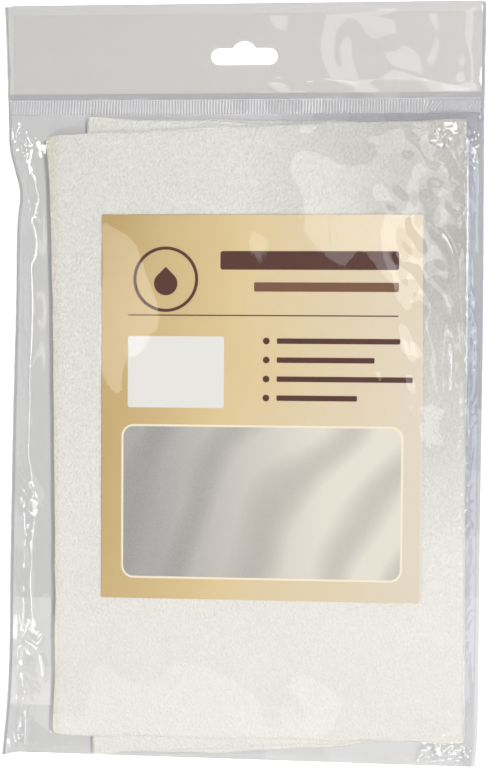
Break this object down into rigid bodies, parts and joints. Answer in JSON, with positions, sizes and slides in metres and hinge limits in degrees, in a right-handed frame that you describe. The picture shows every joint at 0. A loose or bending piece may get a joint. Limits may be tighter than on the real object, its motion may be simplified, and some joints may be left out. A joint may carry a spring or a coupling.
{
  "type": "packed chamois leather",
  "caption": "Soft ivory chamois leather folded flat in a clear sealed hanging bag, with a ribbed heat seal, a folding header with a hang slot and a loose folded card in front of the leather.",
  "frame": {"origin": "middle of the pack's outline, on the surface that its back lies on", "axes": "+X across the pack to the right as seen from its front, +Y along it towards the header, +Z out of its front"},
  "size_m": [0.2286, 0.365, 0.0092],
  "materials": {
    "leather": "soft napped oil-tanned hide, ivory, dry and matt",
    "card": "printed board, gold to cream, satin",
    "film": "clear glossy polypropylene film",
    "weld": "fused clear film, ribbed or beaded",
    "stiffener": "hazy translucent film strip, slightly warm grey"
  },
  "bodies": {
    "bag": {"front_film": "film", "back_film": "film", "bottom_fold": "film", "left_side_weld": "weld", "right_side_weld": "weld", "ribbed_seal": "weld", "fold_strip": "film", "chamois_leather": "leather"},
    "header": {"header_back_film": "film", "header_stiffener": "stiffener", "header_front_film": "film", "header_top_fold": "film", "header_left_weld": "weld", "header_right_weld": "weld"},
    "card": {"insert_card": "card"}
  },
  "joints": [
    {"name": "header_fold", "type": "hinge", "parent": "bag", "child": "header", "pos_m": [0, 0.1396, 0], "axis": [1, 0, 0], "range_deg": [-170, 135], "stiffness_Nm_per_rad": 0.01},
    {"name": "card_slide", "type": "slide", "parent": "bag", "child": "card", "axis": [0, 1, 0], "range_m": [-0.06, 0.035]}
  ]
}
